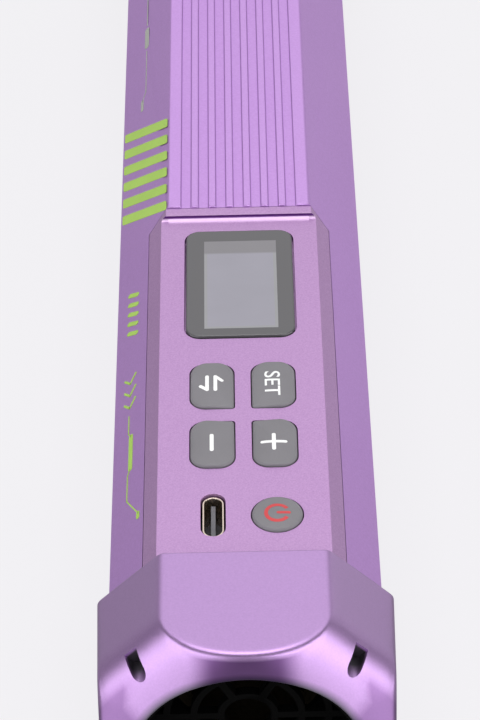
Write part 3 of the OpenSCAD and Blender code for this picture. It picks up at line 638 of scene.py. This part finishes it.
# Cuts one closed shape out of another
def carved(bm, cutter):
    holders = []
    for shape in (bm, cutter):
        mesh = bpy.data.meshes.new("shape")
        shape.to_mesh(mesh)
        shape.free()
        holders.append(bpy.data.objects.new("shape", mesh))
        bpy.context.collection.objects.link(holders[-1])
    cut = holders[0].modifiers.new("cut", "BOOLEAN")
    cut.operation, cut.solver, cut.object = "DIFFERENCE", "EXACT", holders[1]
    result = bmesh.new()
    result.from_object(holders[0], bpy.context.evaluated_depsgraph_get())
    for holder in holders:
        bpy.data.objects.remove(holder)
    return result


# Round-bottomed grooves in the four corners
def notchCutter():
    notch = housing["notch"]
    radius = notch["width"] / 2
    shapes = []
    for quarter in range(4):
        shape = bmesh.new()
        bmesh.ops.create_circle(shape, cap_ends=True, segments=32, radius=radius)
        for vert in shape.verts:
            vert.co.y = vert.co.y if vert.co.y < 0.001 else 8
        move(shape, (0, notch["floor"] + radius, -notch["depth"]))
        extruded(shape, shape.faces[:], (0, 0, notch["depth"] + 2))
        rotate(shape, math.pi / 2, "X")
        turn = math.radians(notch["turn"] if quarter % 2 else 90 - notch["turn"]) + quarter * math.pi / 2
        rotate(shape, turn, "Y")
        bmesh.ops.recalc_face_normals(shape, faces=shape.faces)
        shapes.append(shape)
    return joined(shapes)


def joined(shapes):
    whole = bmesh.new()
    for shape in shapes:
        loose = bpy.data.meshes.new("part")
        shape.to_mesh(loose)
        shape.free()
        whole.from_mesh(loose)
        bpy.data.meshes.remove(loose)
    return whole


def addHousing(node, name, seats, atTail):
    bm = carved(housingSkin(seats), notchCutter())
    if atTail:
        for vert in bm.verts:
            vert.co.y = wand["length"] - vert.co.y
        bmesh.ops.reverse_faces(bm, faces=bm.faces)
    addPiece(bm, name, "housing", hides=[node])


addHousing("mouth_housing", "mouthHousing", ((17.2, 0.97), (17.7, 0.97), (17.7, 17.6), (13.2, 17.6)), False)
addHousing("tail_housing", "tailHousing", ((17.7, 6), (16.7, 6), (16.7, 17.6), (13.2, 17.6)), True)


# How far a point lies outside the plain body section
def overSkin(point):
    x, z = abs(point.x), abs(point.z)
    lean = math.atan2(wand["topZ"] - wand["flatZ"], wand["sideX"] - wand["flatX"])
    slope = (x - wand["flatX"]) * math.sin(lean) + (z - wand["topZ"]) * math.cos(lean)
    return max(x - wand["sideX"], z - wand["topZ"], slope)


bodyEdges = {"rib": 0.22, "long": 0.25, "panel": 0.12}

keyCap = {
    "width": 6.76, "length": 10.72, "leftX": -4.59, "rightX": 4.98, "nearY": 47.32, "farY": 61.23,
    "outerRadius": 2.5, "innerRadius": 0.45,
    "foot": 18.15, "flange": 0.7, "flangeHeight": 0.6,
    "top": 21.35, "rim": 0.35, "crownAcross": 0.42, "crownAlong": 0.14,
    "rings": (0.9, 0.78, 0.64, 0.48, 0.3, 0.12),
}
powerKey = {
    "x": 5.02, "y": 31.1, "radius": 3.8, "rim": 0.45, "crown": 0.3,
    "symbolRadius": 1.7, "symbolShift": -0.21, "stroke": 0.56, "gap": 66,      # degrees left open
}
# Each opening in the frame's deck as its middle and its half width and length, and the same as they are here
keyOpenings = [((x, y), (3.62, 5.72), (newX, newY), (3.53, 5.53))
               for x, newX in ((-4.7, keyCap["leftX"]), (4.7, keyCap["rightX"]))
               for y, newY in ((47.15, keyCap["nearY"]), (61, keyCap["farY"]))]
keyOpenings.append(((4.87, 31.4), (4.095, 4.095), (powerKey["x"], powerKey["y"]), (3.96, 3.96)))

cove = {"y": 105.02, "radius": 2.2, "top": 21.2, "halfWidth": 11.75, "sunk": 0.08, "steps": 10}


# Soft hollow at the foot of the deck's far step: an arc drawn up from the panel to the wall
def stepCove():
    radius, foot = cove["radius"], wand["panelZ"]
    sweep = math.acos(1 - (cove["top"] - foot) / radius)
    start = cove["y"] - radius * math.sin(sweep)
    bm = bmesh.new()
    left = -cove["halfWidth"]
    arc = [bm.verts.new((left, start + radius * math.sin(sweep * step / cove["steps"]),
                         foot + radius * (1 - math.cos(sweep * step / cove["steps"]))))
           for step in range(cove["steps"] + 1)]
    back = bm.verts.new((left, cove["y"] + cove["sunk"], cove["top"]))
    under = bm.verts.new((left, cove["y"] + cove["sunk"], foot - cove["sunk"]))
    front = bm.verts.new((left, start, foot - cove["sunk"]))
    face = bm.faces.new(arc + [back, under, front])
    extruded(bm, [face], (2 * cove["halfWidth"], 0, 0))
    bmesh.ops.recalc_face_normals(bm, faces=bm.faces)
    return bm


# Draws a point at the edge of a key's opening to where the opening is here
def fitOpening(vert):
    for (x, y), (halfX, halfY), (newX, newY), (snugX, snugY) in keyOpenings:
        if abs(vert.co.x - x) < halfX + 0.2 and abs(vert.co.y - y) < halfY + 0.2:
            vert.co.x = newX + (vert.co.x - x) * snugX / halfX
            vert.co.y = newY + (vert.co.y - y) * snugY / halfY
            return


def addBody():
    def onRib(middle, edge):
        return middle.z > wand["topZ"] + 0.1 and abs(middle.x) < wand["flatX"] - 0.3

    def longEdge(middle, edge):
        along = abs(edge.verts[0].co.y - edge.verts[1].co.y)
        return overSkin(middle) > -0.05 and along > 3 and not onRib(middle, edge)

    def lowered(z):
        above = z - wand["topZ"]
        return wand["topZ"] + above * rib["height"] / rib["fullHeight"] if above > 0 else z

    bm = brokenEdges("body_tube", [(bodyEdges["long"], 3, longEdge), (bodyEdges["rib"], 3, onRib, True)],
                     lowered=lowered)
    addPiece(bm, "bodyTube", "tube", hides=["body_tube"])

    def onPanel(middle, edge):
        return middle.z > wand["panelZ"] - 0.05

    deck = brokenEdges("control_deck", [(bodyEdges["panel"], 2, onPanel)])
    for vert in deck.verts:
        fitOpening(vert)
    bm = joined([deck, stepCove()])
    addPiece(bm, "controlDeck", "deck", hides=["control_deck"])


addBody()
print("housings, tube and deck finished")


# How far a key's top falls away from its middle
def keyDrop(x, y):
    across = x / (keyCap["width"] / 2)
    along = y / (keyCap["length"] / 2)
    return keyCap["crownAcross"] * across ** 2 + keyCap["crownAlong"] * along ** 2


# A block on the middle line with a radius of its own at each upright corner
def block(width, length, low, high, radii, segments=10):
    bm = bmesh.new()
    bmesh.ops.create_cube(bm, size=1)
    stretch(bm, (width, length, high - low))
    move(bm, (0, 0, (low + high) / 2))
    for (signX, signY), radius in radii.items():
        corner = Vector((signX * width / 2, signY * length / 2))
        upright = [edge for edge in bm.edges
                   if all((vert.co.xy - corner).length < 0.001 for vert in edge.verts)]
        bmesh.ops.bevel(bm, geom=upright, offset=radius, segments=segments, profile=0.5,
                        affect="EDGES", material=-1)
    return bm


# The widest of the highest faces
def topFace(bm):
    bm.normal_update()
    level = [face for face in bm.faces if face.normal.z > 0.9]
    return max(level, key=lambda face: (round(face.calc_center_median().z, 3), face.calc_area()))


def corners(radius):
    return {(signX, signY): radius for signX in (-1, 1) for signY in (-1, 1)}


# Raises the top face and steps it inwards, so that the top can be bent into a crown
def crowned(bm, rings):
    face = topFace(bm)
    for before, after in zip((1,) + rings, rings):
        face = bmesh.ops.extrude_discrete_faces(bm, faces=[face])["faces"][0]
        bmesh.ops.scale(bm, vec=(after / before, after / before, 1), verts=face.verts)


def addKey(signX, signY, name, node):
    radii = {corner: keyCap["outerRadius"] + keyCap["flange"] for corner in corners(0)}
    radii[(-signX, -signY)] = keyCap["innerRadius"] + keyCap["flange"]
    grown = 2 * keyCap["flange"]
    shelf = keyCap["foot"] + keyCap["flangeHeight"]
    bm = block(keyCap["width"] + grown, keyCap["length"] + grown, keyCap["foot"], shelf, radii)
    face = topFace(bm)
    bmesh.ops.inset_region(bm, faces=[face], thickness=keyCap["flange"], use_even_offset=True)
    face = bmesh.ops.extrude_discrete_faces(bm, faces=[topFace(bm)])["faces"][0]
    bmesh.ops.translate(bm, vec=(0, 0, keyCap["top"] - shelf), verts=face.verts)
    bmesh.ops.bevel(bm, geom=list(topFace(bm).edges), offset=keyCap["rim"], segments=5, profile=0.5,
                    affect="EDGES", material=-1)
    crowned(bm, keyCap["rings"])
    for vert in bm.verts:
        if vert.co.z > shelf + 0.01:
            vert.co.z -= keyDrop(vert.co.x, vert.co.y)
    place = (keyCap["rightX" if signX > 0 else "leftX"], keyCap["farY" if signY > 0 else "nearY"], 0)
    addPiece(bm, name, "keyRubber", node + "_cap", [node], 40, place)
    return place


keyPlaces = {
    "swap": addKey(-1, 1, "swapKey", "key_swap"),
    "set": addKey(1, 1, "setKey", "key_set"),
    "minus": addKey(-1, -1, "minusKey", "key_minus"),
    "plus": addKey(1, -1, "plusKey", "key_plus"),
}

legend = {
    "stroke": 0.58,
    "thickness": 0.05,
    "sunk": 0.03,         # how deep it sits in the key
    "textHeight": 2.51, "textStretch": 1.11,
    "places": {"swap": (-0.18, 0.07), "set": (-0.29, -0.17), "minus": (-0.10, -0.23), "plus": (-0.17, -0.27)},
}


# Flat bar between two points with round ends, cut fine enough to follow a curved key
def bar(start, end, width):
    start, end = Vector(start), Vector(end)
    length = (end - start).length + width
    bm = block(width, length, 0, legend["thickness"], corners(width / 2 - 0.01), 6)
    for share in range(1, 8):
        cut = (share / 8 - 0.5) * (length - width)
        bmesh.ops.bisect_plane(bm, geom=bm.verts[:] + bm.edges[:] + bm.faces[:], dist=0.0001,
                               plane_co=(0, cut, 0), plane_no=(0, 1, 0))
    turn = math.atan2(start.x - end.x, end.y - start.y)
    middle = (start + end) / 2
    turned = Matrix.Translation((*middle, 0)) @ Matrix.Rotation(turn, 4, "Z")
    bmesh.ops.transform(bm, matrix=turned, verts=bm.verts)
    return bm


# Lays a flat legend on a curved top
def layOn(bm, top, drop):
    for vert in bm.verts:
        vert.co.z += top - legend["sunk"] - drop(vert.co.x, vert.co.y)


# Flat lettering; a capital's height is 0.729 of the font's size
def letters(text, height):
    curve = bpy.data.curves.new("letters", "FONT")
    curve.body = text
    curve.size = height / 0.729
    curve.extrude = legend["thickness"] / 2
    curve.offset = 0.02
    curve.align_x = "CENTER"
    curve.align_y = "CENTER"
    holder = bpy.data.objects.new("letters", curve)
    mesh = bpy.data.meshes.new_from_object(holder)
    bm = bmesh.new()
    bm.from_mesh(mesh)
    bpy.data.objects.remove(holder)
    move(bm, (0, 0, legend["thickness"] / 2))
    bmesh.ops.remove_doubles(bm, verts=bm.verts, dist=0.0005)
    for axis in ((1, 0, 0), (0, 1, 0)):              # cut fine enough to follow a curved key
        for step in range(-14, 15):
            bmesh.ops.bisect_plane(bm, geom=bm.verts[:] + bm.edges[:] + bm.faces[:], dist=0.0001,
                                   plane_co=Vector(axis) * (step * 0.27 + 0.013), plane_no=axis)
    return bm


def addLegends():
    stroke = legend["stroke"]
    marks = {
        "swap": joined([
            bar((-0.6, -1.6), (-0.6, 1.6), stroke), bar((-0.6, -1.6), (-1.6, -0.65), stroke),
            bar((0.7, -1.6), (0.7, 1.6), stroke), bar((0.7, 1.6), (1.7, 0.65), stroke),
        ]),
        "minus": bar((0, -1.68), (0, 1.68), stroke + 0.03),
        "plus": joined([
            bar((0, -1.62), (0, 1.62), stroke + 0.03), bar((-1.78, 0), (1.78, 0), stroke - 0.02),
        ]),
    }
    text = letters("SET", legend["textHeight"])
    stretch(text, (legend["textStretch"], 1, 1))
    rotate(text, -math.pi / 2, "Z")
    marks["set"] = text
    for name, bm in marks.items():
        move(bm, (*legend["places"][name], 0))
        layOn(bm, keyCap["top"], keyDrop)
        addPiece(bm, name + "Legend", "whiteInk", "key_" + name + "_cap", at=keyPlaces[name])


addLegends()


def powerDrop(x, y):
    return powerKey["crown"] * (x * x + y * y) / powerKey["radius"] ** 2


def addPowerKey():
    foot, top = keyCap["foot"], keyCap["top"]
    shelf = foot + keyCap["flangeHeight"]
    radius = powerKey["radius"]
    bm = bmesh.new()
    wide = radius + keyCap["flange"]
    section = [(0, foot), (wide, foot), (wide, shelf), (radius, shelf)]
    rim = powerKey["rim"]
    for step in range(7):
        turn = step * math.pi / 12
        section.append((radius - rim * (1 - math.cos(turn)), top - rim * (1 - math.sin(turn))))
    section += [(radius * share, top) for share in (0.7, 0.45, 0.2)] + [(0, top)]
    outline = [bm.verts.new((across, 0, height)) for across, height in section]
    edges = [bm.edges.new(pair) for pair in zip(outline, outline[1:])]
    bmesh.ops.spin(bm, geom=edges, cent=(0, 0, 0), axis=(0, 0, 1), angle=2 * math.pi, steps=64,
                   use_merge=True)
    bmesh.ops.remove_doubles(bm, verts=bm.verts, dist=0.001)
    for vert in bm.verts:
        if vert.co.z > shelf + 0.01:
            vert.co.z -= powerDrop(vert.co.x, vert.co.y)
    bmesh.ops.recalc_face_normals(bm, faces=bm.faces)
    place = (powerKey["x"], powerKey["y"], 0)
    addPiece(bm, "powerKey", "keyRubber", "power_cap", ["power_key"], 40, place)

    ring = bmesh.new()
    half = powerKey["stroke"] / 2
    bmesh.ops.create_grid(ring, x_segments=2, y_segments=1, size=0.5)
    stretch(ring, (2 * half, 1, legend["thickness"]))
    rotate(ring, math.pi / 2, "X")
    stretch(ring, (1, 1, legend["thickness"]))
    move(ring, (powerKey["symbolRadius"], 0, legend["thickness"] / 2))
    rotate(ring, math.radians(powerKey["gap"] / 2), "Z")
    bmesh.ops.spin(ring, geom=ring.faces[:] + ring.edges[:] + ring.verts[:], cent=(0, 0, 0), axis=(0, 0, 1),
                   angle=math.radians(360 - powerKey["gap"]), steps=40)
    bmesh.ops.recalc_face_normals(ring, faces=ring.faces)
    symbol = joined([ring, bar((0.12, 0), (powerKey["symbolRadius"] + 0.05, 0), powerKey["stroke"] - 0.06)])
    move(symbol, (0, powerKey["symbolShift"], 0))
    layOn(symbol, top, powerDrop)
    addPiece(symbol, "powerSymbol", "redInk", "power_cap", at=place)


addPowerKey()
print("keys and legends made")

lensCover = {"width": 17.5, "length": 28.0, "y": 87.38, "radius": 2.25, "low": 19.8, "high": 21, "rim": 0.3}


def addLens():
    bm = block(lensCover["width"], lensCover["length"], lensCover["low"], lensCover["high"],
               corners(lensCover["radius"]), 12)
    bmesh.ops.bevel(bm, geom=list(topFace(bm).edges), offset=lensCover["rim"], segments=4, profile=0.5,
                    affect="EDGES", material=-1)
    addPiece(bm, "displayLens", "lens", hides=["display_lens"], at=(0, lensCover["y"], 0))


addLens()


port = {"rim": 0.1, "edge": 0.08, "stretchAbove": 17, "lift": 0.35}


def addPort():
    def onRim(middle, edge):
        return middle.z > 19.8

    shell = brokenEdges("usb_shell", [(port["rim"], 3, onRim)])
    tongue = brokenEdges("usb_tongue", [(port["edge"], 2, anywhere)])
    for bm in (shell, tongue):
        for vert in bm.verts:
            vert.co.z += port["lift"] if vert.co.z > port["stretchAbove"] else 0
    addPiece(shell, "portShell", "portPlating", hides=["usb_shell"])
    addPiece(tongue, "portTongue", "portTongueGrey", hides=["usb_tongue"])


addPort()


def addOpenings():
    def atMouth(middle, edge):
        return middle.y < 3

    def atTail(middle, edge):
        return middle.y > 225

    for node, name, groups, finish in (
            ("mouth_liner", "mouthLiner", [(0.2, 2, atMouth)], "shadowBlackNylon"),
            ("outlet_grille", "outletGrille", [(0.25, 2, anywhere)], "shadowBlackNylon"),
            ("intake_grille", "intakeGrille", [(0.25, 2, atTail)], "blackNylon")):
        addPiece(brokenEdges(node, groups), name, finish, hides=[node])


addOpenings()
print("lens, port and openings finished")

# The left slope of the body as a sheet: first axis down the slope, second along the body
slopeDown = Vector((wand["flatX"] - wand["sideX"], 0, wand["flatZ"] - wand["topZ"])).normalized()
slopeOut = Vector((0, 1, 0)).cross(slopeDown)
slopeSheet = Matrix.Translation((-wand["flatX"], 0, wand["topZ"])) @ Matrix((
    slopeDown, Vector((0, 1, 0)), slopeOut)).transposed().to_4x4()


# Prints flat shapes on the slope; the sheet is a mirrored one, so the faces are turned back
def onSlope(bm, name, ink):
    bmesh.ops.transform(bm, matrix=slopeSheet, verts=bm.verts)
    bmesh.ops.reverse_faces(bm, faces=bm.faces)
    addPiece(bm, name, ink)


stripes = {
    "count": 6, "firstY": 108.05, "pitch": 4.85, "width": 2.6, "lean": 0.62,
    "top": -0.1, "bottom": 11.5, "thickness": 0.03, "corner": 0.45,
}


def addStripes():
    shapes = []
    length = stripes["bottom"] - stripes["top"]
    for number in range(stripes["count"]):
        shape = block(length, stripes["width"], 0, stripes["thickness"], corners(stripes["corner"]), 5)
        move(shape, (stripes["top"] + length / 2, stripes["firstY"] + number * stripes["pitch"], 0))
        for vert in shape.verts:
            vert.co.y += stripes["lean"] * vert.co.x
        shapes.append(shape)
    onSlope(joined(shapes), "slopeStripes", "greenInk")


addStripes()

# Printed line work: round-ended strokes as (down the slope, along the body) pairs and a stroke width
lineWork = {
    "slopeDashes": [((7.0, y), (8.9, y + 1.3), 0.9) for y in (80.5, 83, 85.5, 88, 90.5)],
    "slopeArrows": [stroke for y in (62.5, 65.5, 68.5) for stroke in (
        ((6.9, y + 1.6), (8.2, y), 0.42), ((8.2, y), (9.5, y + 1.6), 0.42))],
    "slopePath": [
        ((8.3, 60.5), (8.3, 56.2), 0.22), ((8.3, 56.2), (7.7, 55.2), 0.22), ((7.7, 55.2), (7.7, 47.6), 0.95),
        ((7.7, 47.6), (8.3, 46.4), 0.22), ((8.3, 46.4), (8.3, 40.5), 0.22), ((8.3, 40.5), (5.6, 35.8), 0.22),
        ((5.6, 35.8), (5.6, 34.8), 0.7),
    ],
    "slopeFarPath": [
        ((6.9, 143.5), (6.9, 146.2), 0.7), ((6.9, 146.2), (6.0, 148.4), 0.22),
        ((6.0, 148.4), (6.0, 161.5), 0.22), ((6.0, 163), (6.0, 168.5), 1.1),
        ((6.0, 170), (6.0, 183), 0.22), ((6.0, 183), (7.4, 185.5), 0.22),
    ],
}


def addLineWork():
    for name, strokes in lineWork.items():
        ink = "rubbedInk" if "Far" in name else "greenInk"
        onSlope(joined([bar(*stroke) for stroke in strokes]), name, ink)


addLineWork()
print("printed stripes and line work made")

# CAD nodes that stay as they are get their finish by the record's slots
slotFinish = {
    "anodised_purple": "tube", "blasted_pink": "deck", "key_rubber": "keyRubber", "lens_glass": "lens",
    "black_nylon": "blackNylon", "steel": "steel", "usb_plating": "portPlating", "mica": "mica",
    "heating_wire": "heatingWire", "copper": "copper", "rotor_steel": "rotorSteel",
    "impeller_grey": "impellerGrey", "board_green": "board", "chip_black": "chipBlack",
    "mount_rubber": "mountRubber", "cell_wrap": "cellWrap", "nickel": "nickel", "filter_mesh": "filter",
}
nodeFinish = {"heater_cross": "shadowDarkMica", "heater_sleeve": "shadowDarkMica"}
for part in frame["record"]["subparts"]:
    mesh = nodes[part["node"]].data
    mesh.materials.clear()
    mesh.materials.append(finishes[nodeFinish.get(part["node"], slotFinish[part["material_slot"]])])

room = {
    "floor": (0.45, 0.448, 0.48),
    "seen": (0.990, 0.982, 1.000),    # how the floor and the room look to the camera
    "shade": 0.2,                     # share of the floor that still takes a shadow
    "dim": 0.25, "glow": 0.70,        # the room's own light, and how much it gains high over the tail
    "towards": (0, 0.68, 0.733), "falloff": 4,
    "mirrored": 1.2, "mirroredDim": 0.06,     # how metal and glass show the backdrop, there and elsewhere
    "mirroredFloor": {"start": -0.32, "rise": 0.7},      # where the floor shows so, towards the tail
    # Before the mouth it shows off to both sides, by the distance across over the distance ahead
    "mirroredFront": {"y": -0.125, "start": 0.2, "rise": 3, "strength": 1.6},
}


# Room light from everywhere, and a pale backdrop for what the camera and smooth surfaces see
def addRoom():
    world = bpy.data.worlds.new("room")
    bpy.context.scene.world = world
    world.use_nodes = True
    sky = Nodes(world.node_tree)
    sky.tree.nodes.clear()
    path = sky.node("ShaderNodeLightPath")
    direct, mirror = path.out("Is Camera Ray"), path.out("Is Glossy Ray") + path.out("Is Transmission Ray")
    towards = sky.node("ShaderNodeVectorMath", {"operation": "DOT_PRODUCT"}, [
        sky.node("ShaderNodeTexCoord").out("Generated"), room["towards"]]).out("Value")
    behind = towards.atLeast(0)
    spread = behind.math("POWER", behind, room["falloff"])
    glow = behind * behind * room["glow"] + room["dim"]
    shown = spread * room["mirrored"] + room["mirroredDim"]
    lit = sky.node("ShaderNodeBackground", None, {
        "Color": (1, 1, 1), "Strength": glow * (1 - direct - mirror)})
    seen = sky.node("ShaderNodeBackground", None, {
        "Color": room["seen"], "Strength": direct + mirror * shown})
    both = sky.node("ShaderNodeAddShader", None, [lit, seen])
    sky.node("ShaderNodeOutputWorld", None, [both])

    bm = bmesh.new()
    bmesh.ops.create_circle(bm, cap_ends=True, radius=6, segments=96)
    mesh = bpy.data.meshes.new("floor")
    bm.to_mesh(mesh)
    bm.free()
    floor = bpy.data.objects.new("floor", mesh)
    bpy.context.collection.objects.link(floor)
    paint = Paint("floorPaper", {"Roughness": 0.9})
    paint.set("Base Color", room["floor"])
    path = paint.node("ShaderNodeLightPath")
    direct, mirror = path.out("Is Camera Ray"), path.out("Is Glossy Ray") + path.out("Is Transmission Ray")
    x, y, z = paint.axes(paint.spot())
    back, front = room["mirroredFloor"], room["mirroredFront"]
    ahead = (front["y"] - y).atLeast(0.001)
    beside = ((abs(x) / ahead - front["start"]) * front["rise"]).clamped()
    shown = ((y - back["start"]) * back["rise"]).clamped()
    shown = shown + beside * (ahead * 40).clamped() * front["strength"] + room["mirroredDim"]
    glow = paint.node("ShaderNodeEmission", None, {
        "Color": room["seen"], "Strength": direct + mirror * shown})
    both = paint.node("ShaderNodeMixShader", None, {0: direct * (1 - room["shade"]) + mirror, 2: glow})
    paint.tree.links.new(paint.shader.outputs[0], both.socket.node.inputs[1])
    paint.tree.links.new(both.socket, paint.tree.nodes["Material Output"].inputs[0])
    mesh.materials.append(paint.material)


addRoom()

lamps = {
    "overhead": {"place": (0, -0.08, 1.1), "aim": (0, -0.05, 0), "size": (0.8, 0.6), "watts": 5.4},
    "left": {"place": (-0.78, -0.66, 0.35), "aim": (0, -0.1, 0.02), "size": (1.5, 0.42), "watts": 6.3},
    "right": {"place": (0.78, -0.66, 0.35), "aim": (0, -0.1, 0.02), "size": (1.5, 0.42), "watts": 7.2},
    "leftBack": {"place": (-0.9, 0.7, 0.25), "aim": (0, 0.05, 0.02), "size": (0.6, 0.5), "watts": 0.2},
    "rightBack": {"place": (0.9, 0.7, 0.25), "aim": (0, 0.05, 0.02), "size": (0.6, 0.5), "watts": 0.62},
}


def addLamps():
    for name, lamp in lamps.items():
        light = bpy.data.lights.new(name, "AREA")
        light.shape = "RECTANGLE"
        light.size, light.size_y = lamp["size"]
        light.energy = lamp["watts"]
        holder = bpy.data.objects.new(name, light)
        place, aim = Vector(lamp["place"]), Vector(lamp["aim"])
        turned = (aim - place).to_track_quat("-Z", "Y").to_matrix().to_4x4()
        holder.matrix_world = Matrix.Translation(place) @ turned
        holder.visible_camera = False
        bpy.context.collection.objects.link(holder)


addLamps()
bpy.context.scene.view_settings.view_transform = "Standard"
print("room and lamps made")
